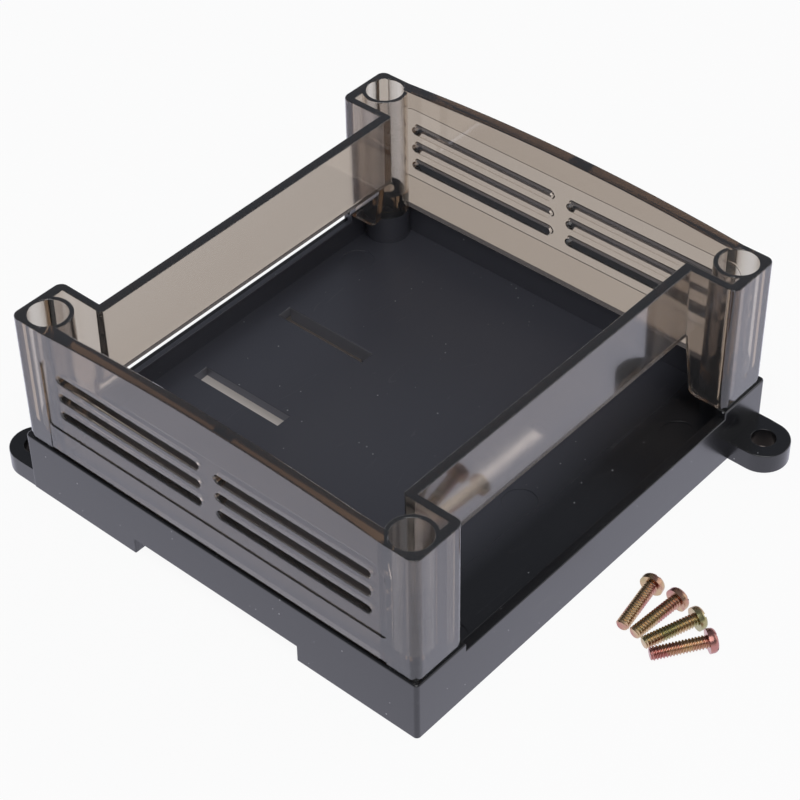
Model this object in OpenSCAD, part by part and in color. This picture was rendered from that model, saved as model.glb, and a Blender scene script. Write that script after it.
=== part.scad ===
// Rail-mount module enclosure: a black moulded base with rail channel and screw ears,
// a smoke-clear moulded cover with an open top and vented ends, and the cover's own screws,
// taken out and lying beside it. Millimetres, +Z up, X along the rail.
// The origin is the middle of the base's underside.

/* [Enclosure] */
// Length of the base along the rail
box_l = 95; // [84:1:130]
// Width of the base across the rail, without the ears
box_w = 90; // [84:1:120]
// Height of the base at its corners, up to the face the cover sits on
base_h = 12.6; // [11.6:0.2:16]
// Height of the cover's corner posts above the base
cover_h = 26.9; // [26:0.1:40]
// Radius of the base's upright outer corners
base_corner_r = 0.8; // [0.5:0.1:1.5]
// Radius of the cover's upright outer corners
cover_corner_r = 1.6; // [0.8:0.1:2]
// How far the cover's outer faces are set in from those of the base
cover_inset = 0.45; // [0.2:0.05:0.6]

/* [Base] */
// Thickness of the base's outer walls
base_wall = 2; // [1.6:0.1:2.4]
// Thickness of the base's floor
floor_t = 2.2; // [1.6:0.1:2.8]
// Height of the hollow below the floor
under_h = 4.2; // [3.8:0.1:5]
// How far the side walls drop between the corner posts
side_drop = 1.6; // [0.8:0.1:2.4]
// Diameter of the blind pilot hole for a cover screw
pilot_d = 2.1; // [1.8:0.1:2.3]
// Depth of the pilot hole below the seat of the cover
pilot_depth = 8.6; // [8:0.1:10]
// Diameter of the ejector pin marks on the floor
mark_d = 6.4; // [4:0.2:8]
// Depth of the ejector pin marks
mark_depth = 0.15; // [0.1:0.05:0.3]
// Distance of the outer ejector pin marks from the middle along the rail
mark_x = 31.6; // [20:0.2:33]
// Distance of the inner ejector pin mark from the side wall
mark_inset = 15.5; // [12:0.5:20]

/* [Ears] */
// Diameter of the round end of a screw ear
ear_d = 9.8; // [8:0.2:12]
// Thickness of a screw ear
ear_t = 4.1; // [3:0.1:5]
// Diameter of the screw hole in an ear
ear_hole_d = 4.5; // [3.2:0.1:5]
// How far an ear's straight edge is set in from the end of the base
ear_edge = 0.1; // [0.1:0.1:6]
// Distance of the ear hole's axis from the side of the base
ear_reach = 4; // [3.6:0.1:7]

/* [Rail channel] */
// Width of the channel that takes a 35 mm rail
channel_w = 37.8; // [36:0.2:40]
// Depth of the channel from the underside to the rail pads
channel_h = 3.4; // [2.8:0.1:3.6]
// Thickness of the channel's side ribs
rib_t = 1.8; // [1.2:0.1:2.4]
// Width of the pads that the rail bears on
pad_w = 1.6; // [1.2:0.1:3]
// Distance of the pads from the sides of the channel
pad_edge = 7.2; // [5:0.2:10]
// Reach of the fixed hook under the rail's edge
hook_reach = 3.1; // [2.4:0.1:3.6]
// Thickness of the fixed hook
hook_t = 1.4; // [1:0.1:1.6]
// Height of the hook above the underside
hook_z = 0.5; // [0.3:0.1:0.6]
// Length of the hook and of the window above it
hook_l = 34.6; // [20:0.2:50]
// Width of the two floor slots that a sliding rail latch runs in
guide_slot_w = 3.1; // [2.4:0.1:4]
// Distance between the outer edges of the two latch slots
guide_span = 25.6; // [20:0.2:30]
// Width of the rib below the floor beside each latch slot
guide_rib_w = 1.6; // [1.2:0.1:2]
// Depth of that rib below the floor
guide_rib_h = 1.1; // [0.8:0.1:1.6]
// Distance from the ends of the latch slots to the side wall
guide_clear = 4.5; // [3:0.5:8]
// How far the latch slots start inside the channel
guide_lead = 1.2; // [0.6:0.1:2]

/* [Cover walls] */
// Thickness of the vented end walls
end_wall = 2.6; // [2.2:0.1:2.8]
// Thickness of a corner post's outer side wall
post_wall = 2; // [1.6:0.1:2.4]
// Thickness of the inset terminal walls
terminal_wall = 2; // [1.6:0.1:2.4]
// Thickness of the return walls that join posts and terminal walls
return_wall = 1.5; // [1.2:0.1:2]
// Length of a corner post along the rail
post_l = 12.1; // [12:0.1:16]
// Distance of a terminal wall's outer face from the side of the base
terminal_inset = 9.8; // [9.6:0.1:14]
// Height of the wiring gap from the seat to a terminal wall's lower edge
terminal_gap = 12; // [9:0.5:16]
// How far a return wall's free edge leans out at its foot
return_lean = 1.4; // [0.6:0.1:2]
// Radius at the foot of a return wall's free edge
return_foot_r = 1.8; // [1:0.1:2.4]
// Rise of the end walls' crowned top above the posts
crown_rise = 1.8; // [1:0.1:3]
// Distance of the crown's ends from the sides of the base
crown_margin = 7; // [6.6:0.1:10]
// Gap below the end walls between the posts
foot_gap = 0.35; // [0.2:0.05:0.6]
// How far the end walls' foot is set back between the posts
foot_step = 0.1; // [0.05:0.05:0.2]

/* [Vents] */
// Depth of the shallow panel sunk into each end wall
panel_depth = 0.35; // [0.3:0.05:0.6]
// Distance of the panel's ends from the sides of the base
panel_margin = 6.6; // [6.6:0.1:10]
// Height of the panel's lower edge above the seat
panel_foot = 5.75; // [5:0.05:7]
// Distance of the panel's upper edge from the top of the posts
panel_head = 5.4; // [4:0.1:6]
// Radius of the panel's upper corners
panel_r = 3; // [1.5:0.1:3]
// Radius of the panel's lower corners
panel_foot_r = 1; // [0.6:0.1:2]
// How much higher panel and vents sit in the far end wall than in the near one
far_lift = 1.2; // [0:0.1:1.4]
// Height of one vent slot
vent_h = 1.6; // [1.4:0.1:2.4]
// Height of the lowest row of vent slots above the panel's lower edge
vent_foot = 4.05; // [3:0.05:4.2]
// Distance between the rows of vent slots
vent_pitch = 4; // [3.4:0.1:4]
// Rows of vent slots
vent_rows = 3; // [1:1:3]
// Width of the bar between the two groups of vent slots
vent_bar = 3.6; // [2:0.1:8]
// Distance from the panel's end to the vent slots
vent_margin = 3.4; // [3:0.1:8]

/* [Screw wells] */
// Diameter of the well in a corner post that takes a screw's head
well_d = 7; // [5.6:0.1:7]
// Wall of the tube round a well
well_wall = 0.9; // [0.7:0.1:0.9]
// Skin between a well and the cover's outer faces
well_skin = 1; // [1:0.1:1.8]
// Thickness of the shoulder that a screw's head pulls on
shoulder_t = 4.4; // [2.4:0.1:5]
// Clearance of a screw in the shoulder's hole, on the diameter
screw_clear = 0.4; // [0.2:0.1:0.6]

/* [Screws] */
// Thread diameter of a cover screw
screw_d = 2.4; // [2.3:0.1:2.5]
// Length of a cover screw below its head
screw_l = 9.8; // [9.6:0.1:12]
// Diameter of a screw's pan head
head_d = 4.3; // [4:0.1:4.5]
// Height of the pan head
head_h = 1.6; // [1.4:0.1:2]
// Radius of the pan head's upper edge
head_r = 0.9; // [0.5:0.1:1]
// Width of the cross recess's blades
cross_w = 0.6; // [0.4:0.1:0.8]
// Length across the cross recess
cross_l = 2.4; // [2:0.1:2.6]
// Depth of the cross recess
cross_depth = 0.9; // [0.5:0.1:1.1]
// Number of cover screws
screw_count = 4; // [1:1:4]
// Place along the rail of the point that the lying screws fan out from
fan_x = -17.6; // [-30:0.2:20]
// Distance of that point from the side of the base
fan_gap = 11.7; // [11:0.1:24]
// Distance from that point to the screws' tips
fan_r = 9.8; // [9.8:0.2:16]
// Direction in which the first screw's head points
fan_start = 7; // [-4:1:10]
// Angle from one lying screw to the next
fan_step = 15; // [15:0.5:20]

/* [Hidden] */
$fn = 96;
// Facets of the long shallow arcs, so that they run smooth
arc_fn = 1440;
// How far a cut runs past the face it opens
cut = 1;
// The two signs of a mirrored pair
sides = [-1, 1];
// Radius of the upright inside corners
inner_r = 0.4;

floor_z = under_h + floor_t;
side_z = base_h - side_drop;
post_top = base_h + cover_h;
well_x = box_l / 2 - cover_inset - well_skin - well_d / 2;
well_y = box_w / 2 - cover_inset - well_skin - well_d / 2;
boss_d = well_d + 2 * well_wall;
post_x = box_l / 2 - post_l;

ear_x = box_l / 2 - ear_d / 2 - ear_edge;
ear_y = box_w / 2 + ear_reach;

channel_y = channel_w / 2;
guide_x = guide_span / 2;
guide_start = channel_y - guide_lead;
guide_end = box_w / 2 - base_wall - guide_clear;
guide_l = guide_end - guide_start;
pad_y = channel_w / 2 - pad_edge;

cover_x = box_l / 2 - cover_inset;
cover_y = box_w / 2 - cover_inset;
end_in_x = cover_x - end_wall;
post_in_y = cover_y - post_wall;
return_in_x = post_x + return_wall;
terminal_y = box_w / 2 - terminal_inset;
terminal_in_y = terminal_y - terminal_wall;
terminal_z = base_h + terminal_gap;

crown_y = box_w / 2 - crown_margin;
crown_top = post_top + crown_rise;
panel_y = box_w / 2 - panel_margin;
panel_z = base_h + panel_foot;
panel_top = post_top - panel_head;
vent_l = panel_y - vent_margin - vent_bar / 2;
vent_z = panel_z + vent_foot;

screw_r = screw_d / 2;
// Tilt of a screw that lies on its tip and on the edge of its head
lie_angle = atan((head_d - screw_d) / 2 / screw_l);
fan_y = -box_w / 2 - fan_gap;

// Radius of an arc that rises by rise over half_span
function arc_radius(half_span, rise) = (half_span * half_span + rise * rise) / (2 * rise);

// Rectangle with rounded corners, about the origin
module rounded_rect(length, width, radius) {
    square([length - 2 * radius, width], center = true);
    square([length, width - 2 * radius], center = true);
    for (x = sides, y = sides)
        translate([x * (length / 2 - radius), y * (width / 2 - radius)])
            circle(radius);
}

// Plate drawn in the Y-Z plane, from x_low to x_low + thickness
module yz_plate(x_low, thickness) {
    translate([x_low, 0, 0])
        rotate([90, 0, 90])
            linear_extrude(thickness)
                children();
}

// The same thing at both ends of the rail's direction, each facing out
module both_ends() {
    children();
    mirror([1, 0, 0])
        children();
}

// The same thing at all four corners
module four_corners() {
    for (x = sides, y = sides)
        in_quarter(x, y)
            children();
}

// Mirror into the quarter with the given signs
module in_quarter(x, y) {
    mirror([x < 0 ? 1 : 0, 0, 0])
        mirror([0, y < 0 ? 1 : 0, 0])
            children();
}

// Outer tray: floor with walls above it and a skirt below it
module base_tray() {
    difference() {
        linear_extrude(base_h)
            rounded_rect(box_l, box_w, base_corner_r);
        translate([0, 0, floor_z])
            linear_extrude(base_h)
                rounded_rect(box_l - 2 * base_wall, box_w - 2 * base_wall, inner_r);
        translate([0, 0, -cut])
            linear_extrude(under_h + cut)
                rounded_rect(box_l - 2 * base_wall, box_w - 2 * base_wall, inner_r);
        translate([-post_x, -box_w / 2 - cut, side_z])
            cube([2 * post_x, box_w + 2 * cut, base_h]);
    }
}

// Upright bosses that the cover screws bite into
module base_bosses() {
    four_corners()
        translate([well_x, well_y, 0])
            cylinder(d = boss_d, h = base_h);
}

// Screw ears at two opposite corners, in line with the underside
module ears() {
    for (turn = [0, 180])
        rotate([0, 0, turn])
            translate([ear_x, -ear_y, 0]) {
                cylinder(d = ear_d, h = ear_t);
                translate([-ear_d / 2, 0, 0])
                    cube([ear_d, ear_reach + base_wall / 2, ear_t]);
            }
}

// Ribs beside the channel, and pads below the floor that the rail bears on
module channel_ribs() {
    run = box_l - base_wall;
    for (y = sides) {
        translate([-run / 2, y * (channel_y + rib_t / 2) - rib_t / 2, 0])
            cube([run, rib_t, floor_z - floor_t / 2]);
        translate([-run / 2, y * pad_y - pad_w / 2, channel_h])
            cube([run, pad_w, floor_z - floor_t / 2 - channel_h]);
    }
}

// Fixed hook that reaches under one edge of the rail
module rail_hook() {
    translate([-hook_l / 2, -channel_y - rib_t / 2, hook_z])
        cube([hook_l, rib_t / 2 + hook_reach, hook_t]);
}

// Shallow ribs below the floor that guide a sliding latch, beside its two slots
module latch_guides() {
    both_ends()
        translate([guide_x, guide_start, under_h - guide_rib_h])
            cube([guide_rib_w, guide_l, guide_rib_h + floor_t / 2]);
}

// Window in the floor above the hook, and the two slots of the sliding latch
module floor_slots() {
    translate([-hook_l / 2, -channel_y, hook_z + hook_t])
        cube([hook_l, hook_reach, floor_z]);
    both_ends()
        translate([guide_x - guide_slot_w, guide_start, under_h - cut])
            cube([guide_slot_w, guide_l, floor_t + 2 * cut]);
}

// Rail channel through both end walls, and the latch's way in from one side
module channel_cuts() {
    translate([-box_l / 2 - cut, -channel_y, -cut])
        cube([box_l + 2 * cut, channel_w, channel_h + cut]);
    translate([-guide_x, channel_y - cut, -cut])
        cube([guide_span, rib_t + 2 * cut, under_h + cut]);
    translate([-guide_x, box_w / 2 - base_wall - cut, -cut])
        cube([guide_span, base_wall + 2 * cut, channel_h + cut]);
}

// Screw holes of bosses and ears
module base_holes() {
    four_corners()
        translate([well_x, well_y, base_h - pilot_depth])
            cylinder(d = pilot_d, h = pilot_depth + cut);
    for (turn = [0, 180])
        rotate([0, 0, turn])
            translate([ear_x, -ear_y, -cut])
                cylinder(d = ear_hole_d, h = ear_t + 2 * cut);
}

// Round marks left by the ejector pins on the floor of the wiring bays and beside the hook
module ejector_marks() {
    mark_y = (box_w / 2 - base_wall + terminal_in_y) / 2;
    four_corners()
        translate([mark_x, mark_y, floor_z - mark_depth])
            cylinder(d = mark_d, h = mark_depth + cut);
    translate([0, mark_inset + base_wall - box_w / 2, floor_z - mark_depth])
        cylinder(d = mark_d, h = mark_depth + cut);
}

// Moulded base
module base() {
    color([0.11, 0.115, 0.125])
        difference() {
            union() {
                difference() {
                    union() {
                        base_tray();
                        channel_ribs();
                    }
                    channel_cuts();
                }
                base_bosses();
                ears();
                rail_hook();
                latch_guides();
            }
            floor_slots();
            base_holes();
            ejector_marks();
        }
}

// Outline of the cover seen from above: corner posts joined by inset terminal walls
module cover_outline() {
    square([2 * cover_x - cover_corner_r, 2 * terminal_y], center = true);
    for (x = sides)
        translate([x * (cover_x + post_x) / 2, 0])
            rounded_rect(cover_x - post_x, 2 * cover_y, cover_corner_r);
}

// Space inside the cover's walls seen from above
module cover_hollow() {
    square([2 * end_in_x - inner_r, 2 * terminal_in_y], center = true);
    for (x = sides)
        translate([x * (end_in_x + return_in_x) / 2, 0])
            rounded_rect(end_in_x - return_in_x, 2 * post_in_y, inner_r);
}

// Upper part of an end wall, crowned from post to post
module end_crown() {
    radius = arc_radius(crown_y, crown_rise);
    yz_plate(end_in_x, end_wall)
        intersection() {
            translate([-crown_y, post_top - crown_rise])
                square([2 * crown_y, 3 * crown_rise]);
            translate([0, crown_top - radius])
                circle(radius, $fn = arc_fn);
        }
}

// Outline of the sunk panel, with rounder corners at its upper edge
module panel_outline() {
    middle_z = (panel_z + panel_top) / 2;
    translate([-panel_y, panel_z + panel_foot_r])
        square([2 * panel_y, panel_top - panel_r - panel_z - panel_foot_r]);
    translate([-panel_y + panel_r, middle_z])
        square([2 * (panel_y - panel_r), panel_top - middle_z]);
    translate([-panel_y + panel_foot_r, panel_z])
        square([2 * (panel_y - panel_foot_r), middle_z - panel_z]);
    for (y = sides) {
        translate([y * (panel_y - panel_r), panel_top - panel_r])
            circle(panel_r);
        translate([y * (panel_y - panel_foot_r), panel_z + panel_foot_r])
            circle(panel_foot_r);
    }
}

// Vent slots with round ends, in two groups of rows
module vent_slots() {
    for (side = sides, row = [0 : vent_rows - 1])
        translate([side * (vent_bar + vent_l) / 2, vent_z + row * vent_pitch])
            rounded_slot(vent_l, vent_h);
}

// Slot of the given overall length with half-round ends, along the first axis
module rounded_slot(length, height) {
    square([length - height, height], center = true);
    for (x = sides)
        translate([x * (length - height) / 2, 0])
            circle(d = height);
}

// What is cut from one end wall: panel and vents, raised by lift, the set-back foot and its gap
module end_wall_cuts(lift) {
    translate([0, 0, lift]) {
        yz_plate(cover_x - panel_depth, panel_depth + cut)
            panel_outline();
        yz_plate(end_in_x - cut, end_wall + 2 * cut)
            vent_slots();
    }
    translate([cover_x - foot_step, -panel_y, base_h - cut])
        cube([foot_step + cut, 2 * panel_y, panel_foot + lift + panel_foot_r + cut]);
    translate([end_in_x - cut, -panel_y, base_h - cut])
        cube([end_wall + 2 * cut, 2 * panel_y, foot_gap + cut]);
}

// Wiring gap below both terminal walls, with the leaning free edges of the return walls
module wiring_gap() {
    foot_y = terminal_y + return_lean;
    yz_plate(-return_in_x - inner_r / 2, 2 * return_in_x + inner_r) {
        polygon([
            [-terminal_y, terminal_z],
            [-foot_y, base_h + return_foot_r],
            [-foot_y, base_h - cut],
            [foot_y, base_h - cut],
            [foot_y, base_h + return_foot_r],
            [terminal_y, terminal_z],
        ]);
        for (y = sides)
            difference() {
                translate([y * (foot_y + return_foot_r / 2), base_h + (return_foot_r - cut) / 2])
                    square([return_foot_r, return_foot_r + cut], center = true);
                translate([y * (foot_y + return_foot_r), base_h + return_foot_r])
                    circle(return_foot_r);
            }
    }
}

// Wells for the screw heads, with a shoulder at the foot and the screw's hole through it
module wells() {
    four_corners()
        translate([well_x, well_y, base_h]) {
            translate([0, 0, shoulder_t])
                cylinder(d = well_d, h = cover_h);
            translate([0, 0, -cut])
                cylinder(d = screw_d + screw_clear, h = cover_h);
        }
}

// Moulded cover, open at the top
module cover() {
    color([0.42, 0.38, 0.35, 0.6])
        difference() {
            union() {
                translate([0, 0, base_h])
                    linear_extrude(cover_h)
                        difference() {
                            cover_outline();
                            cover_hollow();
                        }
                four_corners()
                    translate([well_x, well_y, base_h])
                        cylinder(d = boss_d, h = cover_h);
                both_ends()
                    end_crown();
            }
            end_wall_cuts(far_lift);
            mirror([1, 0, 0])
                end_wall_cuts(0);
            wiring_gap();
            wells();
        }
}

// One cover screw along +X: tip at the origin, pan head with a cross recess at the far end
module cover_screw() {
    rotate([0, 90, 0])
        difference() {
            union() {
                cylinder(d = screw_d, h = screw_l + head_h / 2);
                translate([0, 0, screw_l])
                    pan_head();
            }
            for (turn = [0, 90])
                rotate([0, 0, turn])
                    translate([-cross_w / 2, -cross_l / 2, screw_l + head_h - cross_depth])
                        cube([cross_w, cross_l, cross_depth + cut]);
        }
}

// Pan head: flat below and on top, with a round shoulder
module pan_head() {
    rotate_extrude() {
        square([head_d / 2, head_h - head_r]);
        square([head_d / 2 - head_r, head_h]);
        intersection() {
            translate([head_d / 2 - head_r, head_h - head_r])
                circle(head_r);
            square([head_d / 2, head_h]);
        }
    }
}

// Cover screws lying in a fan, each on its tip and the edge of its head
module cover_screws() {
    color([0.78, 0.62, 0.36])
        for (i = [0 : screw_count - 1])
            translate([fan_x, fan_y, screw_r * cos(lie_angle)])
                rotate([0, 0, fan_start - fan_step * i])
                    translate([fan_r, 0, 0])
                        rotate([0, -lie_angle, 0])
                            cover_screw();
}

base();
cover();
cover_screws();
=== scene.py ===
"""Looks of a smoke-clear rail enclosure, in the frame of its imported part.

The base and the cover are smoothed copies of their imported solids, with the small rounds that a mould
leaves on its edges. The cover screws are modelled afresh, with thread, pan head and cross slots.
All lengths are in metres, and MM turns a size in millimetres into metres.
"""

import logging
import math
from contextlib import contextmanager
from dataclasses import dataclass
from enum import Enum
from functools import reduce
from typing import Callable, Iterator

import bmesh
import bpy
from mathutils import Matrix, Vector


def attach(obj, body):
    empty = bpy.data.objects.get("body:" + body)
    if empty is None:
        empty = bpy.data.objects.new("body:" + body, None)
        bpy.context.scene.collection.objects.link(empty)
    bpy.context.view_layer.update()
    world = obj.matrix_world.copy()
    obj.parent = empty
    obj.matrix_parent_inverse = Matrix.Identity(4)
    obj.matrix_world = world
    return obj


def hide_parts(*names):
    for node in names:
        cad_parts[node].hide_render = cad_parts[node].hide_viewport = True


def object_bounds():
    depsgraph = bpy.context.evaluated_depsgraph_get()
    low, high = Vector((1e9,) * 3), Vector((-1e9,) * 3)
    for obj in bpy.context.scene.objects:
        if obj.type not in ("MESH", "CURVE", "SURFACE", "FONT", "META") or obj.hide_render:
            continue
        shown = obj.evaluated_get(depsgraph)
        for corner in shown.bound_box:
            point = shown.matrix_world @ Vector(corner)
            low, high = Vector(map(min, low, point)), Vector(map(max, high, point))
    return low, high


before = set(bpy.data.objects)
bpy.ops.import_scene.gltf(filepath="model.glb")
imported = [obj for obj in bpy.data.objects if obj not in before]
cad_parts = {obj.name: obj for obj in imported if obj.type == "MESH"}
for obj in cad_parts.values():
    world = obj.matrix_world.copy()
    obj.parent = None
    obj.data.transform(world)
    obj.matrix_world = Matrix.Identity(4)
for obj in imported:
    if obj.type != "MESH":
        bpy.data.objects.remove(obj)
CAD_LOW, CAD_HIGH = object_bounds()

MM = 0.001
Lengths = tuple[float, ...]
Pair = tuple[float, float]
Triple = tuple[float, float, float]
Colour = tuple[float, float, float, float]
Socket = bpy.types.NodeSocket
Sockets = tuple[Socket, ...]
Values = dict[str | int, object]
RadiusRule = Callable[[Vector], float]

# Faces that turn by less than this are one flat face
FLAT_ANGLE = math.radians(0.2)
# Edges that turn by more than this are rounded
CORNER_ANGLE = math.radians(35.0)
# Share of the narrowest face beside an edge that its round may take up
ROUND_SHARE = 0.4
# Range of a share
UNIT: Pair = (0.0, 1.0)
# Range that most values of a noise texture lie in
NOISE_RANGE: Pair = (0.3, 0.7)
# Place of the hole in one ear, with the other ear's opposite
EAR_HOLE: Pair = (42.5 * MM, -49.0 * MM)
WHITE: Colour = (1.0, 1.0, 1.0, 1.0)

log = logging.getLogger("enclosure")


class Node(Enum):
    """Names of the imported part's nodes."""

    BASE = "base"
    COVER = "cover"
    SCREWS = "cover_screws"


class Slot(Enum):
    """Names of the record's material slots."""

    BASE = "base_plastic"
    COVER = "smoke_plastic"
    SCREWS = "screw_zinc"


class Effect(Enum):
    """Names of the shader node groups that the finishes share."""

    SPECKS = "dust_specks"
    HAIRLINES = "hairline_scratches"
    UNEVENNESS = "moulding_unevenness"


# Mesh work


def choose_only(piece: bpy.types.Object) -> None:
    """Makes one object the only selected one, and the active one.

    Args:
        piece: The object that the next operators act on.
    """
    bpy.ops.object.select_all(action="DESELECT")
    piece.select_set(True)
    bpy.context.view_layer.objects.active = piece


@contextmanager
def edit_mode(piece: bpy.types.Object) -> Iterator[None]:
    """Opens one object alone in edit mode, and closes it again.

    Args:
        piece: The mesh object to edit.

    Returns:
        A context in which the edit mode operators act on its mesh.
    """
    choose_only(piece)
    bpy.ops.object.mode_set(mode="EDIT")
    try:
        yield
    finally:
        bpy.ops.object.mode_set(mode="OBJECT")


def apply_modifier(piece: bpy.types.Object, kind: str, **settings: object) -> None:
    """Adds one modifier to a piece and applies it.

    Args:
        piece: The mesh object.
        kind: The modifier's type.
        **settings: Values of the modifier's properties.
    """
    modifier = piece.modifiers.new(kind.title(), kind)
    for name, value in settings.items():
        setattr(modifier, name, value)
    choose_only(piece)
    bpy.ops.object.modifier_apply(modifier=modifier.name)


def merged_copy(node: Node, name: str, tolerance: float) -> bpy.types.Object:
    """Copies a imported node's mesh as one closed skin whose flat faces are whole.

    Args:
        node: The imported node.
        name: Name of the new piece.
        tolerance: Distance under which points are merged.

    Returns:
        The new piece, with no material.
    """
    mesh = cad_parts[node.value].data.copy()
    mesh.name = name
    mesh.materials.clear()
    piece = bpy.data.objects.new(name, mesh)
    bpy.context.scene.collection.objects.link(piece)
    with edit_mode(piece):
        bpy.ops.mesh.select_all(action="SELECT")
        bpy.ops.mesh.customdata_custom_splitnormals_clear()
        bpy.ops.mesh.remove_doubles(threshold=tolerance)
        bpy.ops.mesh.dissolve_limited(angle_limit=FLAT_ANGLE)
    return piece


def reach_beside(edge: bmesh.types.BMEdge, face: bmesh.types.BMFace) -> float:
    """Measures how far a face reaches away from one of its edges.

    Args:
        edge: The edge.
        face: A face beside it.

    Returns:
        The largest distance of the face's corners from the edge's line.
    """
    start = edge.verts[0].co
    along = (edge.verts[1].co - start).normalized()
    return max((v.co - start - along * (v.co - start).dot(along)).length for v in face.verts)


def step_beside(edge: bmesh.types.BMEdge) -> float:
    """Measures the shortest edge that turns off an edge's ends, along the faces beside it.

    A small turn counts as part of an arc, and not as a corner.

    Args:
        edge: The edge.

    Returns:
        The length of that edge, or infinity without one.
    """
    shortest = math.inf
    for loop in edge.link_loops:
        along = loop.link_loop_next.vert.co - loop.vert.co
        for other in (loop.link_loop_prev, loop.link_loop_next):
            beside = other.link_loop_next.vert.co - other.vert.co
            if along.angle(beside) > CORNER_ANGLE:
                shortest = min(shortest, beside.length)
    return shortest


def ramp(value: float, between: Pair, to: Pair) -> float:
    """Maps a value from one range to another, held at the ends.

    Args:
        value: The value.
        between: Start and end of its range.
        to: What the start and the end become.

    Returns:
        The mapped value.
    """
    share = (value - between[0]) / (between[1] - between[0])
    return to[0] + (to[1] - to[0]) * min(1.0, max(0.0, share))


def round_edges(piece: bpy.types.Object, radius_of: RadiusRule, largest: float, segments: int) -> None:
    """Rounds the sharp outward edges of a piece, each by its own radius.

    A round takes up at most a set share of the faces beside it, so thin steps stay crisp.

    Args:
        piece: A closed mesh object.
        radius_of: Gives the wished radius of an edge from its middle.
        largest: The largest radius in use.
        segments: Number of facets in a round.
    """
    mesh = piece.data
    work = bmesh.new()
    work.from_mesh(mesh)
    weights = work.edges.layers.float.new("bevel_weight_edge")
    for edge in work.edges:
        if not edge.is_manifold or not edge.is_convex or edge.calc_face_angle() < CORNER_ANGLE:
            continue
        room = min(reach_beside(edge, face) for face in edge.link_faces)
        room = min(room, step_beside(edge))
        middle = (edge.verts[0].co + edge.verts[1].co) / 2
        edge[weights] = min(radius_of(middle), ROUND_SHARE * room) / largest
    work.to_mesh(mesh)
    work.free()
    apply_modifier(
        piece, "BEVEL", limit_method="WEIGHT", offset_type="OFFSET", width=largest,
        segments=segments, use_clamp_overlap=False, loop_slide=False,
    )
    smooth_faces(piece)


def smooth_faces(piece: bpy.types.Object, angle: float = 30.0) -> None:
    """Shades a piece smooth, with flat faces kept flat up to their rounds.

    Args:
        piece: The mesh object.
        angle: Angle in degrees above which an edge stays sharp.
    """
    choose_only(piece)
    bpy.ops.object.shade_smooth_by_angle(angle=math.radians(angle))
    apply_modifier(piece, "WEIGHTED_NORMAL", mode="FACE_AREA", keep_sharp=True)


def apply_place(piece: bpy.types.Object) -> None:
    """Moves an object's place, turn and scale into its mesh."""
    choose_only(piece)
    bpy.ops.object.transform_apply(location=True, rotation=True, scale=True)


def boolean(piece: bpy.types.Object, other: bpy.types.Object, operation: str) -> None:
    """Cuts, joins or crosses a piece with another solid, which is used up.

    Args:
        piece: The mesh object that is changed.
        other: The solid that it is worked with.
        operation: DIFFERENCE, UNION or INTERSECT.
    """
    apply_modifier(piece, "BOOLEAN", object=other, operation=operation, solver="EXACT")
    mesh = other.data
    bpy.data.objects.remove(other)
    bpy.data.meshes.remove(mesh)


def draw_profile(name: str, outline: list[Pair]) -> bpy.types.Object:
    """Draws an open outline in the X-Z plane, corner by corner.

    Args:
        name: Name of the new object.
        outline: Distance from the Z axis and height of each corner.

    Returns:
        The outline, as a chain of edges.
    """
    corners = [Vector((reach, 0.0, height)) for reach, height in outline]
    bpy.ops.object.select_all(action="DESELECT")
    bpy.ops.mesh.primitive_plane_add(size=MM)
    piece = bpy.context.active_object
    piece.name = name
    with edit_mode(piece):
        bpy.ops.mesh.select_all(action="SELECT")
        bpy.ops.mesh.merge(type="CENTER")
        bpy.ops.transform.translate(value=corners[0])
        for start, end in zip(corners, corners[1:]):
            bpy.ops.mesh.extrude_region_move(TRANSFORM_OT_translate={"value": end - start})
    return piece


# Shader node work


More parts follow.
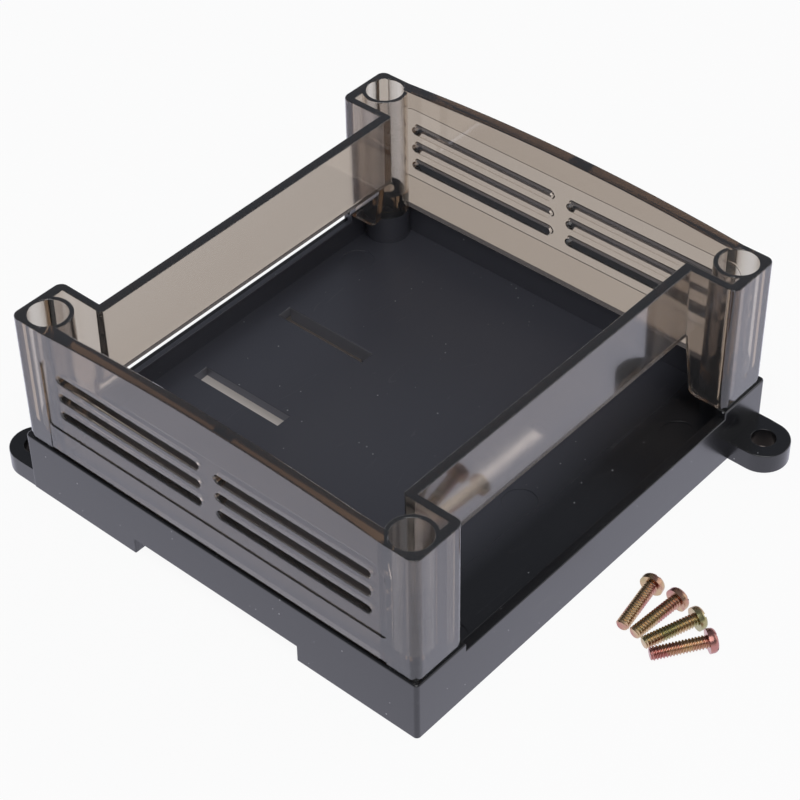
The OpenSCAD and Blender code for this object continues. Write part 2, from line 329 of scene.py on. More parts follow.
@dataclass(frozen=True)
class Sheet:
    """Places and links nodes in the node tree of a material, a world or a group."""

    tree: bpy.types.NodeTree

    def add(self, kind: str, inputs: Values | None = None, **settings: object) -> bpy.types.Node:
        """Places one node.

        Args:
            kind: The node's type.
            inputs: Values of its inputs, or the output sockets that feed them, by name or number.
            **settings: Values of the node's own properties.

        Returns:
            The node.
        """
        node = self.tree.nodes.new(kind)
        for name, value in settings.items():
            setattr(node, name, value)
        for name, value in (inputs or {}).items():
            self.feed(node.inputs[name], value)
        return node

    def feed(self, socket: Socket, value: object) -> None:
        """Links an output to an input socket, or writes a plain value on it.

        Args:
            socket: The input socket.
            value: An output socket, or a value.
        """
        if isinstance(value, Socket):
            self.tree.links.new(value, socket)
        else:
            socket.default_value = value

    def sum(self, operation: str, *values: object) -> Socket:
        """Works out one step of arithmetic.

        Args:
            operation: The operation of a Math node.
            *values: Its operands, as sockets or numbers.

        Returns:
            The result's socket.
        """
        return self.add("ShaderNodeMath", dict(enumerate(values)), operation=operation).outputs[0]

    def product(self, *values: object) -> Socket:
        """Multiplies two or more values, as sockets or numbers."""
        return reduce(lambda first, second: self.sum("MULTIPLY", first, second), values)

    def span(self, value: object, between: Pair, to: Pair = UNIT) -> Socket:
        """Maps a value from one range to another, held at the ends.

        Args:
            value: The socket to map.
            between: Start and end of its range.
            to: What the start and the end become.

        Returns:
            The mapped value's socket.
        """
        names = ("From Min", "From Max", "To Min", "To Max")
        inputs = {"Value": value, **dict(zip(names, (*between, *to)))}
        return self.add("ShaderNodeMapRange", inputs, clamp=True).outputs[0]

    def blend(self, share: object, first: object, second: object) -> Socket:
        """Mixes two colours.

        Args:
            share: Share of the second colour, as a socket or a number.
            first: Colour at a share of 0.
            second: Colour at a share of 1.

        Returns:
            The mixed colour's socket.
        """
        node = self.add("ShaderNodeMix", data_type="RGBA")
        for index, value in ((0, share), (6, first), (7, second)):
            self.feed(node.inputs[index], value)
        return node.outputs[2]

    def effect(self, effect: Effect, inputs: Values) -> bpy.types.Node:
        """Places one of the shared node groups.

        Args:
            effect: Which group.
            inputs: Values or sockets of its inputs.

        Returns:
            The group's node.
        """
        return self.add("ShaderNodeGroup", inputs, node_tree=bpy.data.node_groups[effect.value])

    def place(self, turn: Triple = (0.0, 0.0, 0.0), scale: Triple = (1.0, 1.0, 1.0)) -> Socket:
        """Gives the object's own coordinates, turned and stretched.

        Args:
            turn: Turn about each axis in degrees.
            scale: Stretch along each axis.

        Returns:
            The coordinates' socket.
        """
        here = self.add("ShaderNodeTexCoord").outputs["Object"]
        inputs = {"Vector": here, "Rotation": tuple(math.radians(a) for a in turn), "Scale": scale}
        return self.add("ShaderNodeMapping", inputs).outputs[0]

    def spot(self) -> Sockets:
        """Gives the object's own coordinates, one socket for each axis."""
        return tuple(self.add("ShaderNodeSeparateXYZ", {0: self.place()}).outputs)

    def within(self, spot: Sockets, middle: Lengths, reach: Lengths) -> Socket:
        """Marks a box.

        Args:
            spot: Coordinates, for each axis that bounds the box.
            middle: The box's middle on those axes.
            reach: How far the box reaches from its middle.

        Returns:
            The mark's socket, 1 inside the box.
        """
        inside = [
            self.sum("LESS_THAN", self.sum("ABSOLUTE", self.sum("SUBTRACT", value, centre)), half)
            for value, centre, half in zip(spot, middle, reach)
        ]
        return self.product(*inside)

    def bump(self, height: Socket, distance: float) -> Socket:
        """Turns a height over the surface into a normal.

        Args:
            height: The height's socket.
            distance: Length that a height of 1 stands for.

        Returns:
            The normal's socket.
        """
        inputs = {"Strength": 1.0, "Distance": distance, "Height": height}
        return self.add("ShaderNodeBump", inputs).outputs[0]


def new_group(
    effect: Effect, inputs: dict[str, float | None], outputs: tuple[str, ...]
) -> tuple[Sheet, bpy.types.Node, bpy.types.Node]:
    """Starts one shared node group.

    Args:
        effect: Which group.
        inputs: Names and default values of its inputs, with None for a vector.
        outputs: Names of its outputs, all plain values.

    Returns:
        The group's sheet, its input node and its output node.
    """
    tree = bpy.data.node_groups.new(effect.value, "ShaderNodeTree")
    for name, default in inputs.items():
        kind = "NodeSocketVector" if default is None else "NodeSocketFloat"
        socket = tree.interface.new_socket(name, in_out="INPUT", socket_type=kind)
        if default is not None:
            socket.default_value = default
    for name in outputs:
        tree.interface.new_socket(name, in_out="OUTPUT", socket_type="NodeSocketFloat")
    sheet = Sheet(tree)
    return sheet, sheet.add("NodeGroupInput"), sheet.add("NodeGroupOutput")


def make_specks() -> None:
    """Builds the group that scatters small round specks of dust."""
    inputs = {"Vector": None, "Scale": 400.0, "Size": 0.1, "Share": 0.1}
    sheet, given, result = new_group(Effect.SPECKS, inputs, ("Mask",))
    pattern = {name: given.outputs[name] for name in ("Vector", "Scale")}
    cells = sheet.add("ShaderNodeTexVoronoi", pattern)
    draw = sheet.add("ShaderNodeSeparateColor", {0: cells.outputs["Color"]})
    chosen = sheet.sum("LESS_THAN", draw.outputs[0], given.outputs["Share"])
    size = sheet.product(given.outputs["Size"], draw.outputs[1])
    inside = sheet.sum("LESS_THAN", cells.outputs["Distance"], size)
    sheet.feed(result.inputs["Mask"], sheet.product(chosen, inside))


def make_hairlines() -> None:
    """Builds the group that draws short hairline scratches along the first axis of its coordinates.

    A scratch follows the noise's middle value, and shows only in the patches of a finer noise.
    """
    line_value, wander = 0.5, 0.4
    patch_ratio, patch_limit, limit_per_share = 2.3, 0.75, 0.5
    inputs = {"Vector": None, "Scale": 60.0, "Width": 0.004, "Share": 0.3}
    sheet, given, result = new_group(Effect.HAIRLINES, inputs, ("Mask",))
    pattern = {name: given.outputs[name] for name in ("Vector", "Scale")}
    lines = sheet.add("ShaderNodeTexNoise", {**pattern, "Detail": 1.0, "Distortion": wander})
    off_centre = sheet.sum("ABSOLUTE", sheet.sum("SUBTRACT", lines.outputs[0], line_value))
    on_line = sheet.sum("LESS_THAN", off_centre, given.outputs["Width"])
    pattern["Scale"] = sheet.product(given.outputs["Scale"], patch_ratio)
    patches = sheet.add("ShaderNodeTexNoise", {**pattern, "Detail": 0.0})
    lowered = sheet.product(given.outputs["Share"], limit_per_share)
    limit = sheet.sum("SUBTRACT", patch_limit, lowered)
    shown = sheet.sum("GREATER_THAN", patches.outputs[0], limit)
    sheet.feed(result.inputs["Mask"], sheet.product(on_line, shown))


def make_unevenness() -> None:
    """Builds the group that gives a moulded skin its fine grain and its slow drift."""
    inputs = {"Vector": None, "Grain Scale": 4000.0, "Drift Scale": 60.0}
    sheet, given, result = new_group(Effect.UNEVENNESS, inputs, ("Grain", "Drift"))
    for name, scale, detail in (("Grain", "Grain Scale", 2.0), ("Drift", "Drift Scale", 3.0)):
        noise = sheet.add(
            "ShaderNodeTexNoise",
            {"Vector": given.outputs["Vector"], "Scale": given.outputs[scale], "Detail": detail},
        )
        sheet.feed(result.inputs[name], noise.outputs[0])


# Finishes


def new_material(name: str) -> tuple[bpy.types.Material, Sheet, bpy.types.Node]:
    """Starts a material with an empty sheet and its output node.

    Args:
        name: The material's name.

    Returns:
        The material, its sheet and its output node.
    """
    material = bpy.data.materials.new(name)
    material.use_nodes = True
    material.node_tree.nodes.clear()
    sheet = Sheet(material.node_tree)
    return material, sheet, sheet.add("ShaderNodeOutputMaterial")


@dataclass(frozen=True)
class BlackSatin:
    """Finish of the base: black satin plastic, greyer and duller on the floor inside the cover, with
    painted light making the latch slots' walls paler.
    """

    name: str = "black_satin_plastic"
    black: Colour = (0.005, 0.0052, 0.0065, 1.0)
    worn_black: Colour = (0.007, 0.0072, 0.0085, 1.0)
    floor_black: Colour = (0.052, 0.053, 0.065, 1.0)
    # Painted light: paler colour on the latch slots' walls, standing in for light that hardly reaches into
    # the narrow slots
    slot_painted_light: Colour = (0.15, 0.15, 0.165, 1.0)
    dust: Colour = (0.36, 0.36, 0.37, 1.0)
    roughness: Pair = (0.22, 0.26)
    floor_dulling: float = 0.12
    floor_reach: Triple = (46.5 * MM, 44.0 * MM, 12.4 * MM)
    floor_edge: Pair = (-33.0 * MM, -25.0 * MM)
    slot_middle: Triple = (11.25 * MM, 28.1 * MM, 4.7 * MM)
    slot_reach: Triple = (1.6 * MM, 10.45 * MM, 1.65 * MM)
    refraction: float = 1.62
    grain_scale: float = 5200.0
    drift_scale: float = 45.0
    grain_height: float = 0.0035 * MM
    speck_scale: float = 520.0
    speck_size: float = 0.085
    speck_share: float = 0.65
    scratch_turn: float = 28.0
    scratch_stretch: float = 0.12
    scratch_scale: float = 260.0
    scratch_width: float = 0.0035
    scratch_share: float = 0.35
    scratch_strength: float = 0.05

    def material(self) -> bpy.types.Material:
        """Builds the material.

        Returns:
            The material.
        """
        material, sheet, output = new_material(self.name)
        here = sheet.place()
        skin = sheet.effect(
            Effect.UNEVENNESS,
            {"Vector": here, "Grain Scale": self.grain_scale, "Drift Scale": self.drift_scale},
        )
        specks = sheet.effect(
            Effect.SPECKS,
            {"Vector": here, "Scale": self.speck_scale, "Size": self.speck_size, "Share": self.speck_share},
        )
        along = sheet.place(turn=(0, 0, self.scratch_turn), scale=(self.scratch_stretch, 1.0, 1.0))
        scratches = sheet.effect(
            Effect.HAIRLINES,
            {
                "Vector": along,
                "Scale": self.scratch_scale,
                "Width": self.scratch_width,
                "Share": self.scratch_share,
            },
        )
        drift = sheet.span(skin.outputs["Drift"], NOISE_RANGE)
        # Greyer and duller floor inside the cover, fading to plain black towards -Y
        grey_floor = self.inside_cover(sheet)
        colour = sheet.blend(drift, self.black, self.worn_black)
        colour = sheet.blend(grey_floor, colour, self.floor_black)
        # Painted light on the latch slots' walls
        colour = sheet.blend(self.painted_light_in_slots(sheet), colour, self.slot_painted_light)
        faint = sheet.product(scratches.outputs[0], self.scratch_strength)
        marks = sheet.sum("MAXIMUM", specks.outputs[0], faint)
        colour = sheet.blend(marks, colour, self.dust)
        roughness = sheet.span(skin.outputs["Drift"], NOISE_RANGE, self.roughness)
        roughness = sheet.sum("MULTIPLY_ADD", grey_floor, self.floor_dulling, roughness)
        normal = sheet.bump(skin.outputs["Grain"], self.grain_height)
        shader = sheet.add(
            "ShaderNodeBsdfPrincipled",
            {"Base Color": colour, "Roughness": roughness, "IOR": self.refraction, "Normal": normal},
        )
        sheet.feed(output.inputs["Surface"], shader.outputs[0])
        return material

    def painted_light_in_slots(self, sheet: Sheet) -> Socket:
        """Marks the walls of the two latch slots in the floor, one on each side of the middle, where light
        is painted in to make them paler.

        Args:
            sheet: The material's sheet.

        Returns:
            The mark's socket, 1 on the slots' walls.
        """
        across, along, up = sheet.spot()
        spot = (sheet.sum("ABSOLUTE", across), along, up)
        return sheet.within(spot, self.slot_middle, self.slot_reach)

    def inside_cover(self, sheet: Sheet) -> Socket:
        """Marks the greyer floor between the cover's walls, which fades out towards -Y over floor_edge.

        Args:
            sheet: The material's sheet.

        Returns:
            The mark's socket, 1 on the floor.
        """
        spot = sheet.spot()
        inside = sheet.within(spot, (0.0, 0.0, 0.0), self.floor_reach)
        return sheet.product(inside, sheet.span(spot[1], self.floor_edge))


@dataclass(frozen=True)
class SmokeClear:
    """Finish of the cover: polished clear plastic with a warm smoke tint that deepens with thickness."""

    name: str = "smoke_clear_plastic"
    haze: Colour = (0.84, 0.85, 0.89, 1.0)
    clearness: float = 0.975
    tint: Colour = (0.40, 0.24, 0.054, 1.0)
    density: float = 370.0
    refraction: float = 1.5
    gloss: float = 0.5
    gloss_roughness: float = 0.015
    under_gloss: float = 0.1
    roughness: Pair = (0.07, 0.10)
    upright_stretch: float = 0.03
    grain_scale: float = 900.0
    drift_scale: float = 120.0
    polish_height: float = 0.004 * MM

    def material(self) -> bpy.types.Material:
        """Builds the material.

        Returns:
            The material.
        """
        material, sheet, output = new_material(self.name)
        upright = sheet.place(scale=(1.0, 1.0, self.upright_stretch))
        skin = sheet.effect(
            Effect.UNEVENNESS,
            {"Vector": upright, "Grain Scale": self.grain_scale, "Drift Scale": self.drift_scale},
        )
        roughness = sheet.span(skin.outputs["Drift"], NOISE_RANGE, self.roughness)
        normal = sheet.bump(skin.outputs["Grain"], self.polish_height)
        shader = sheet.add(
            "ShaderNodeBsdfPrincipled",
            {
                "Base Color": self.haze,
                "Roughness": roughness,
                "IOR": self.refraction,
                "Specular IOR Level": self.under_gloss,
                "Transmission Weight": self.clearness,
                "Coat Weight": self.gloss,
                "Coat Roughness": self.gloss_roughness,
                "Coat IOR": self.refraction,
                "Normal": normal,
            },
        )
        inside = sheet.add("ShaderNodeVolumeAbsorption", {"Color": self.tint, "Density": self.density})
        sheet.feed(output.inputs["Surface"], shader.outputs[0])
        sheet.feed(output.inputs["Volume"], inside.outputs[0])
        return material


@dataclass(frozen=True)
class YellowZinc:
    """Finish of the screws: zinc plating passivated yellow, with pink and green tints that run along it."""

    name: str
    pink_from: float
    green_from: float
    gold: Colour = (0.54, 0.39, 0.23, 1.0)
    pink: Colour = (0.45, 0.21, 0.18, 1.0)
    green: Colour = (0.38, 0.35, 0.18, 1.0)
    roughness: Pair = (0.22, 0.34)
    fade: float = 0.12
    grain_scale: float = 1500.0
    drift_scale: float = 190.0

    def material(self) -> bpy.types.Material:
        """Builds the material.

        Returns:
            The material.
        """
        material, sheet, output = new_material(self.name)
        skin = sheet.effect(
            Effect.UNEVENNESS,
            {"Vector": sheet.place(), "Grain Scale": self.grain_scale, "Drift Scale": self.drift_scale},
        )
        drift = skin.outputs["Drift"]
        to_pink = sheet.span(drift, (self.pink_from, self.pink_from + self.fade))
        to_green = sheet.span(drift, (self.green_from, self.green_from - self.fade))
        colour = sheet.blend(to_green, sheet.blend(to_pink, self.gold, self.pink), self.green)
        roughness = sheet.span(skin.outputs["Grain"], NOISE_RANGE, self.roughness)
        shader = sheet.add(
            "ShaderNodeBsdfPrincipled",
            {"Base Color": colour, "Metallic": 1.0, "Roughness": roughness},
        )
        sheet.feed(output.inputs["Surface"], shader.outputs[0])
        return material


@dataclass(frozen=True)
class WhiteTable:
    """Finish of the table: white with a faint shadow, painted shade where the base keeps light off it, and
    a painted pool of light below the base's window.
    """

    name: str = "white_table"
    white: Colour = (0.86, 0.86, 0.86, 1.0)
    # Painted shade: warm, dim colour of the table under the base
    painted_shade_colour: Colour = (0.60, 0.50, 0.46, 1.0)
    lit_share: float = 0.93
    shaded_share: float = 0.03
    shade_reach: Pair = (47.0 * MM, 44.0 * MM)
    shade_span: Pair = (-38.0 * MM, 0.0)
    ear_place: Pair = EAR_HOLE
    ear_reach: float = 3.6 * MM
    window_middle: Pair = (5.0 * MM, -13.0 * MM)
    window_reach: Pair = (20.0 * MM, 4.0 * MM)
    mirrored: Colour = (0.86, 0.86, 1.0, 1.0)
    mirrored_strength: float = 1.2
    shaded: Colour = (1.0, 0.92, 0.86, 1.0)

    def material(self) -> bpy.types.Material:
        """Builds the material.

        Returns:
            The material.
        """
        material, sheet, output = new_material(self.name)
        path = sheet.add("ShaderNodeLightPath")
        through = path.outputs["Is Transmission Ray"]
        glossy = path.outputs["Is Glossy Ray"]
        seen = sheet.sum("MAXIMUM", sheet.sum("MAXIMUM", path.outputs["Is Camera Ray"], through), glossy)
        mirrored = sheet.sum("GREATER_THAN", glossy, through)
        shade = self.under_base(sheet)
        paint = sheet.blend(shade, self.white, self.painted_shade_colour)
        matt = sheet.add("ShaderNodeBsdfDiffuse", {"Color": paint})
        colour = sheet.blend(mirrored, sheet.blend(shade, WHITE, self.shaded), self.mirrored)
        strength = sheet.span(mirrored, UNIT, (1.0, self.mirrored_strength))
        white = sheet.add("ShaderNodeEmission", {"Color": colour, "Strength": strength})
        share = sheet.product(seen, sheet.span(shade, UNIT, (self.lit_share, self.shaded_share)))
        surface = sheet.add("ShaderNodeMixShader", {0: share, 1: matt.outputs[0], 2: white.outputs[0]})
        sheet.feed(output.inputs["Surface"], surface.outputs[0])
        return material

    def under_base(self, sheet: Sheet) -> Socket:
        """Marks the painted shade on the table under the base and its two ears, with a painted pool of
        light left below the base's window.

        Args:
            sheet: The material's sheet.

        Returns:
            The mark's socket, 1 in full shade.
        """
        here, spot = sheet.place(), sheet.spot()
        below = sheet.within(spot, (0.0, 0.0), self.shade_reach)
        depth = sheet.span(spot[0], self.shade_span)
        # Painted pool of light below the base's window, taken out of the shade
        lit = sheet.within(spot, self.window_middle, self.window_reach)
        shade = sheet.product(below, depth, sheet.sum("SUBTRACT", 1.0, lit))
        for side in (1.0, -1.0):
            ear = (side * self.ear_place[0], side * self.ear_place[1], CAD_LOW.z)
            away = sheet.add("ShaderNodeVectorMath", {0: here, 1: ear}, operation="DISTANCE")
            under_ear = sheet.sum("LESS_THAN", away.outputs["Value"], self.ear_reach)
            shade = sheet.sum("MAXIMUM", shade, under_ear)
        return shade


# Pieces


def finish_piece(piece: bpy.types.Object, material: bpy.types.Material, node: Node) -> None:
    """Dresses a piece and ties it to the frame.

    Args:
        piece: The finished mesh object.
        material: Its material.
        node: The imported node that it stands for.
    """
    piece.data.materials.clear()
    piece.data.materials.append(material)
    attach(piece, "root")
    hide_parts(node.value)
    log.info("%s: %d faces for %s", piece.name, len(piece.data.polygons), node.value)


@dataclass
class BaseTray:
    """The black base: tray, bosses, ears and rail channel in one moulding."""

    finish: BlackSatin = BlackSatin()
    merge: float = 0.005 * MM
    edge_round: float = 0.22 * MM
    parting_round: float = 0.08 * MM
    parting_z: float = 12.6 * MM
    outer_round: float = 0.34 * MM
    outer_from: Pair = (46.4 * MM, 43.9 * MM)
    hole_round: float = 0.1 * MM
    hole_place: Pair = EAR_HOLE
    hole_reach: float = 2.6 * MM
    near: float = 0.3 * MM
    segments: int = 3

    def build(self) -> bpy.types.Object:
        """Makes the base's skin with small rounds on its edges.

        Returns:
            The piece.
        """
        piece = merged_copy(Node.BASE, "base_shell", self.merge)
        round_edges(piece, self.radius, self.outer_round, self.segments)
        return piece

    def radius(self, middle: Vector) -> float:
        """Gives an edge's radius: larger on the outer top edge, small under the cover and at ear holes.

        Args:
            middle: The edge's middle.

        Returns:
            The radius.
        """
        if abs(middle.z - self.parting_z) < self.near:
            outer = abs(middle.x) > self.outer_from[0] or abs(middle.y) > self.outer_from[1]
            return self.outer_round if outer else self.parting_round
        hole = Vector(self.hole_place)
        away = min((middle.xy - hole).length, (middle.xy + hole).length)
        return self.hole_round if away < self.hole_reach else self.edge_round

    def dress(self, piece: bpy.types.Object) -> None:
        """Puts the base's finish on and ties it to the frame."""
        finish_piece(piece, self.finish.material(), Node.BASE)


@dataclass
class SmokeCover:
    """The clear cover: open at the top, with vented ends and a screw well in each corner post."""

    finish: SmokeClear = SmokeClear()
    merge: float = 0.005 * MM
    edge_round: float = 0.18 * MM
    top_round: float = 0.24 * MM
    rim_outer_round: float = 0.30 * MM
    rim_inner_round: float = 0.50 * MM
    vent_outer_round: float = 0.38 * MM
    vent_inner_round: float = 0.16 * MM
    step_round: float = 0.03 * MM
    parting_round: float = 0.08 * MM
    corner_round: float = 0.9 * MM
    segments: int = 3
    top: float = 39.4 * MM
    panel_x: float = 46.7 * MM
    panel_y: float = 38.4 * MM
    inner_x: float = 44.45 * MM
    vent_y: float = 36.0 * MM
    vent_low: float = 20.5 * MM
    vent_high: float = 33.5 * MM
    near: float = 0.06 * MM
    parting_z: Pair = (12.7 * MM, 14.4 * MM)
    rim_y: Pair = (38.0 * MM, 31.0 * MM)
    corner_x: float = 36.9 * MM
    corner_y: float = 33.2 * MM

    def build(self) -> bpy.types.Object:
        """Makes the cover's skin with small rounds on its edges.

        Returns:
            The piece.
        """
        piece = merged_copy(Node.COVER, "cover_shell", self.merge)
        round_edges(piece, self.radius, self.corner_round, self.segments)
        return piece

    def radius(self, middle: Vector) -> float:
        """Gives an edge's radius by its place: larger at the crowned rims and outside round the vents.

        Args:
            middle: The edge's middle.

        Returns:
            The radius.
        """
        across, aside, up = abs(middle.x), abs(middle.y), middle.z
        if abs(across - self.corner_x) < self.near and abs(aside - self.corner_y) < self.near:
            return self.corner_round
        if up < self.parting_z[1]:
            return ramp(up, self.parting_z, (self.parting_round, self.edge_round))
        if up > self.top:
            if aside > self.panel_y or across < self.inner_x - self.near:
                return self.top_round
            rim_round = self.rim_outer_round if across > self.panel_x else self.rim_inner_round
            return ramp(aside, self.rim_y, (self.top_round, rim_round))
        if across > self.panel_x - self.near and abs(aside - self.panel_y) < self.near:
            return self.step_round
        if aside < self.vent_y and self.vent_low < up < self.vent_high:
            if abs(across - self.panel_x) < self.near:
                return self.vent_outer_round
            if abs(across - self.inner_x) < self.near:
                return self.vent_inner_round
        return self.edge_round

    def dress(self, piece: bpy.types.Object) -> None:
        """Puts the cover's finish on and ties it to the frame."""
        finish_piece(piece, self.finish.material(), Node.COVER)


@dataclass
class CoverScrews:
    """The cover's screws: rolled thread, pan head and cross slots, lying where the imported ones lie."""

    finishes: tuple[YellowZinc, ...] = (
        YellowZinc("yellow_zinc_1", 0.52, 0.44),
        YellowZinc("yellow_zinc_2", 0.46, 0.38),
        YellowZinc("yellow_zinc_3", 0.60, 0.50),
        YellowZinc("yellow_zinc_4", 0.36, 0.30),
    )
    slot_turns: tuple[float, ...] = (20.0, 62.0, 38.0, 10.0)
    merge: float = 0.005 * MM
    weld: float = 0.001 * MM
    cut_within: float = 0.0001 * MM
    crest_r: float = 1.19 * MM
    root_r: float = 0.95 * MM
    pitch: float = 0.55 * MM
    spare_turns: int = 2
    crest_w: float = 0.08 * MM
    root_w: float = 0.06 * MM
    length: float = 9.8 * MM
    tip_chamfer: float = 0.28 * MM
    neck: float = 0.45 * MM
    head_r: float = 2.14 * MM
    head_h: float = 1.6 * MM
    head_round: float = 0.9 * MM
    slot_w: float = 0.52 * MM
    slot_depth: float = 0.46 * MM
    steps: int = 40
    arc_steps: int = 7
    ring: float = 0.2 * MM
    tip_facing: float = 0.9
    smooth_angle: float = 38.0

    def build(self) -> list[bpy.types.Object]:
        """Makes one screw for each packed one.

        Returns:
            The pieces.
        """
        pieces = []
        for number, (place, turn) in enumerate(zip(self.places(), self.slot_turns), start=1):
            piece = self.threaded_shank(f"screw_{number}")
            boolean(piece, self.head(), "UNION")
            self.cut_slots(piece, turn)
            piece.matrix_world = place
            apply_place(piece)
            smooth_faces(piece, self.smooth_angle)
            pieces.append(piece)
        return pieces

    def places(self) -> list[Matrix]:
        """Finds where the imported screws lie.

        Returns:
            For each screw the placing that brings its tip from the origin and its axis from +Z.
        """
        work = bmesh.new()
        work.from_mesh(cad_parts[Node.SCREWS.value].data)
        bmesh.ops.remove_doubles(work, verts=work.verts, dist=self.merge)
        work.faces.index_update()
        left, found = set(work.verts), []
        while left:
            island, edge_of_search = [], [left.pop()]
            while edge_of_search:
                point = edge_of_search.pop()
                island.append(point)
                for edge in point.link_edges:
                    other = edge.other_vert(point)
                    if other in left:
                        left.remove(other)
                        edge_of_search.append(other)
            found.append(self.placing(island))
        work.free()
        return sorted(found, key=lambda place: -place.translation.y)

    def placing(self, corners: list[bmesh.types.BMVert]) -> Matrix:
        """Finds the placing of one packed screw from the flat of its tip.

        Args:
            corners: Corners of its solid.

        Returns:
            The placing of its tip and axis.
        """
        middle = sum((corner.co for corner in corners), Vector()) / len(corners)
        rim = max((corner.co for corner in corners), key=lambda spot: (spot - middle).length)
        outward = (rim - middle).normalized()
        faces = {face for corner in corners for face in corner.link_faces}
        flat = [
            face
            for face in sorted(faces, key=lambda face: face.index)
            if face.normal.dot(outward) > self.tip_facing
            and (face.calc_center_median() - rim).length < 2 * self.crest_r
        ]
        areas = [face.calc_area() for face in flat]
        axis = -sum((face.normal * area for face, area in zip(flat, areas)), Vector()).normalized()
        tip = sum((face.calc_center_median() * area for face, area in zip(flat, areas)), Vector())
        place = axis.to_track_quat("Z", "Y").to_matrix().to_4x4()
        place.translation = tip / sum(areas)
        return place

    def threaded_shank(self, name: str) -> bpy.types.Object:
        """Winds the thread about +Z, cuts it flat at both ends and chamfers its tip.

        Args:
            name: Name of the piece.

        Returns:
            The shank, with its tip at the origin.
        """
        flank = (self.pitch - self.crest_w - self.root_w) / 2
        rise = (0.0, flank, flank + self.crest_w, 2 * flank + self.crest_w, self.pitch)
        reach = (self.root_r, self.crest_r, self.crest_r, self.root_r, self.root_r)
        low = -self.spare_turns * self.pitch
        shank = draw_profile(name, [(r, low + z) for r, z in zip(reach, rise)])
        turns = math.ceil(self.length / self.pitch) + 2 * self.spare_turns
        apply_modifier(
            shank, "SCREW", axis="Z", angle=2 * math.pi, screw_offset=self.pitch, iterations=turns,
            steps=self.steps, render_steps=self.steps, use_normal_calculate=True,
        )
        with edit_mode(shank):
            bpy.ops.mesh.select_all(action="SELECT")
            bpy.ops.mesh.remove_doubles(threshold=self.weld)
            for height, keep_upper in ((0.0, True), (self.length - self.neck / 2, False)):
                bpy.ops.mesh.select_all(action="SELECT")
                bpy.ops.mesh.bisect(
                    plane_co=(0, 0, height), plane_no=(0, 0, 1), use_fill=True,
                    clear_inner=keep_upper, clear_outer=not keep_upper, threshold=self.cut_within,
                )
            bpy.ops.mesh.select_all(action="SELECT")
            bpy.ops.mesh.normals_make_consistent(inside=False)
        wide = self.crest_r + self.tip_chamfer
        envelope = self.lathe("envelope", [
            (0.0, 0.0), (self.crest_r - self.tip_chamfer, 0.0), (wide, 2 * self.tip_chamfer),
            (wide, self.length + self.tip_chamfer), (0.0, self.length + self.tip_chamfer),
        ])
        boolean(shank, envelope, "INTERSECT")
        return shank

    def head(self) -> bpy.types.Object:
        """Turns the pan head with its plain neck.

        Returns:
            The head, in place on the shank's axis.
        """
        top = self.length + self.head_h
        flat = self.head_r - self.head_round
        arc = [math.pi / 2 * step / self.arc_steps for step in range(self.arc_steps + 1)]
        low = top - self.head_round
        shoulder = [
            (flat + self.head_round * math.cos(angle), low + self.head_round * math.sin(angle))
            for angle in arc
        ]
        neck_low = self.length - self.neck
        return self.lathe("head", [
            (0.0, neck_low), (self.root_r, neck_low), (self.root_r, self.length - self.ring),
            (self.root_r + self.ring, self.length), (self.head_r, self.length), *shoulder, (0.0, top),
        ])

    def lathe(self, name: str, outline: list[Pair]) -> bpy.types.Object:
        """Spins an outline about +Z into a solid.

        Args:
            name: Name of the solid.
            outline: Reach and height of its corners, from the axis back to the axis.

        Returns:
            The solid.
        """
        solid = draw_profile(name, outline)
        with edit_mode(solid):
            bpy.ops.mesh.select_all(action="SELECT")
            bpy.ops.mesh.spin(steps=self.steps, angle=2 * math.pi, center=(0, 0, 0), axis=(0, 0, 1))
            bpy.ops.mesh.select_all(action="SELECT")
            bpy.ops.mesh.remove_doubles(threshold=self.weld)
            bpy.ops.mesh.normals_make_consistent(inside=False)
        return solid

    def cut_slots(self, screw: bpy.types.Object, turn: float) -> None:
        """Cuts the two crossed slots, which run out at the head's rim.

        Args:
            screw: The screw along +Z.
            turn: Turn of the cross about the axis in degrees.
        """
        blade_size = (3 * self.head_r, self.slot_w, 2 * self.slot_depth)
        top = (0, 0, self.length + self.head_h)
        for quarter in (0.0, 90.0):
            facing = (0, 0, math.radians(turn + quarter))
            bpy.ops.object.select_all(action="DESELECT")
            bpy.ops.mesh.primitive_cube_add(size=1.0, location=top, rotation=facing)
            blade = bpy.context.active_object
            blade.scale = blade_size
            apply_place(blade)
            boolean(screw, blade, "DIFFERENCE")

    def dress(self, pieces: list[bpy.types.Object]) -> None:
        """Puts each screw's finish on and ties it to the frame."""
        for piece, finish in zip(pieces, self.finishes):
            finish_piece(piece, finish.material(), Node.SCREWS)


# Camera, table and light


@dataclass(frozen=True)
class SoftLamp:
    """A square soft lamp that faces the object."""

    name: str
    place: Triple
    size: float
    watts: float

    def hang(self) -> None:
        """Hangs the lamp in its place."""
        data = bpy.data.lights.new(self.name, "AREA")
        data.shape = "SQUARE"
        data.size = self.size
        data.energy = self.watts
        lamp = bpy.data.objects.new(self.name, data)
        bpy.context.scene.collection.objects.link(lamp)
        lamp.location = self.place
        lamp.rotation_mode = "QUATERNION"
        lamp.rotation_quaternion = (-Vector(self.place)).to_track_quat("-Z", "Y")


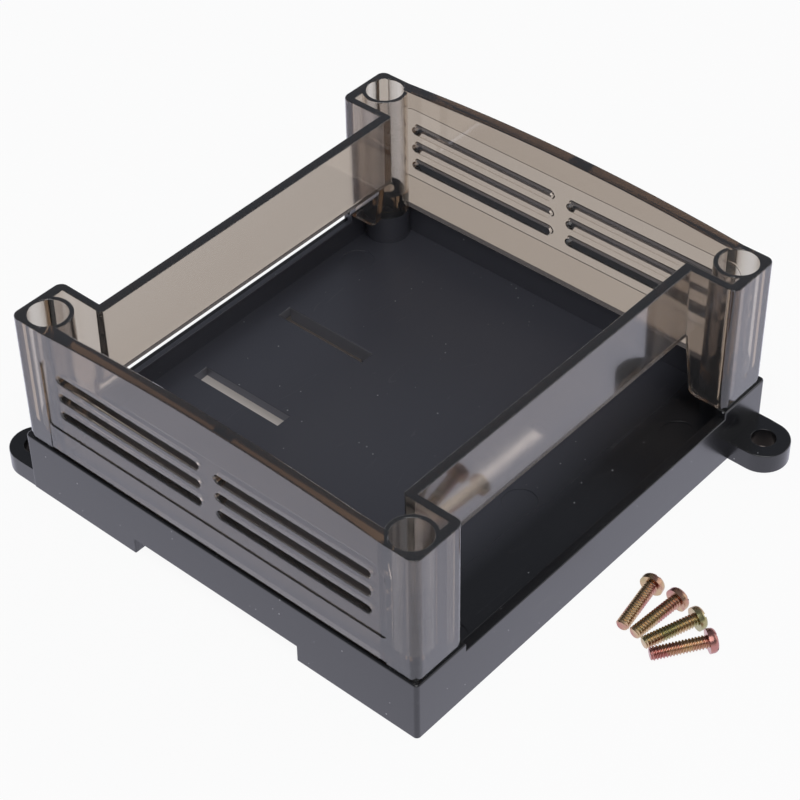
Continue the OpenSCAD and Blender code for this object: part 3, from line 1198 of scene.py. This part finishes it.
@dataclass
class Studio:
    """A white table, soft lamps and the camera."""

    azimuth: float = -48.36
    elevation: float = 41.9935
    roll: float = -0.0167
    distance: float = 406.26 * MM
    target: Triple = (-0.7743 * MM, -0.9571 * MM, 15.0 * MM)
    focal_pixels: float = 2322.82
    image_pixels: float = 800.0
    sensor: float = 36.0
    clip_start: float = 10.0 * MM
    table: WhiteTable = WhiteTable()
    table_size: float = 8.0
    table_drop: float = 0.02 * MM
    lamps: tuple[SoftLamp, ...] = (
        SoftLamp("overhead_softbox", (-0.45, -0.4, 1.2), size=1.0, watts=8.0),
        SoftLamp("side_softbox", (1.1, -0.8, 0.7), size=0.9, watts=3.0),
    )
    backdrop: Colour = WHITE
    room: Colour = (0.19, 0.20, 0.23, 1.0)
    horizon: Pair = (0.10, 0.34)

    def set_camera(self) -> None:
        """Makes the camera and puts it where the picture was taken from."""
        turn, tilt = math.radians(self.azimuth), math.radians(self.elevation)
        back = Vector((math.sin(turn) * math.cos(tilt), -math.cos(turn) * math.cos(tilt), math.sin(tilt)))
        right = Vector((0, 0, 1)).cross(back).normalized()
        up = back.cross(right)
        rolled_right = right * math.cos(self.roll) + up * math.sin(self.roll)
        rolled_up = up * math.cos(self.roll) - right * math.sin(self.roll)
        place = Matrix((rolled_right, rolled_up, back)).transposed().to_4x4()
        place.translation = Vector(self.target) + back * self.distance
        data = bpy.data.cameras.new("camera")
        data.sensor_width = self.sensor
        data.lens = self.focal_pixels / self.image_pixels * self.sensor
        data.clip_start = self.clip_start
        camera = bpy.data.objects.new("camera", data)
        bpy.context.scene.collection.objects.link(camera)
        camera.matrix_world = place
        bpy.context.scene.camera = camera

    def set_table(self) -> None:
        """Lays the white table under the object."""
        bpy.ops.object.select_all(action="DESELECT")
        place = (0, 0, CAD_LOW.z - self.table_drop)
        bpy.ops.mesh.primitive_plane_add(size=self.table_size, location=place)
        table = bpy.context.active_object
        table.name = "table"
        apply_place(table)
        table.data.materials.append(self.table.material())

    def set_sky(self) -> None:
        """Sets a white backdrop all round, with a dim room above it."""
        world = bpy.data.worlds.new("room")
        world.use_nodes = True
        world.node_tree.nodes.clear()
        sheet = Sheet(world.node_tree)
        towards = sheet.add("ShaderNodeTexCoord").outputs["Generated"]
        upward = sheet.add("ShaderNodeSeparateXYZ", {0: towards}).outputs[2]
        colour = sheet.blend(sheet.span(upward, self.horizon), self.backdrop, self.room)
        light = sheet.add("ShaderNodeBackground", {"Color": colour, "Strength": 1.0})
        output = sheet.add("ShaderNodeOutputWorld")
        sheet.feed(output.inputs["Surface"], light.outputs[0])
        bpy.context.scene.world = world

    def build(self) -> None:
        """Sets up camera, table and light."""
        self.set_camera()
        self.set_table()
        for lamp in self.lamps:
            lamp.hang()
        self.set_sky()
        bpy.context.scene.view_settings.view_transform = "Standard"


def main() -> None:
    """Builds the studio and every piece, in order."""
    logging.basicConfig(level=logging.INFO, format="%(name)s: %(message)s")
    Studio().build()
    make_specks()
    make_hairlines()
    make_unevenness()
    for assembly in (BaseTray(), SmokeCover(), CoverScrews()):
        assembly.dress(assembly.build())


if __name__ == "__main__":
    main()
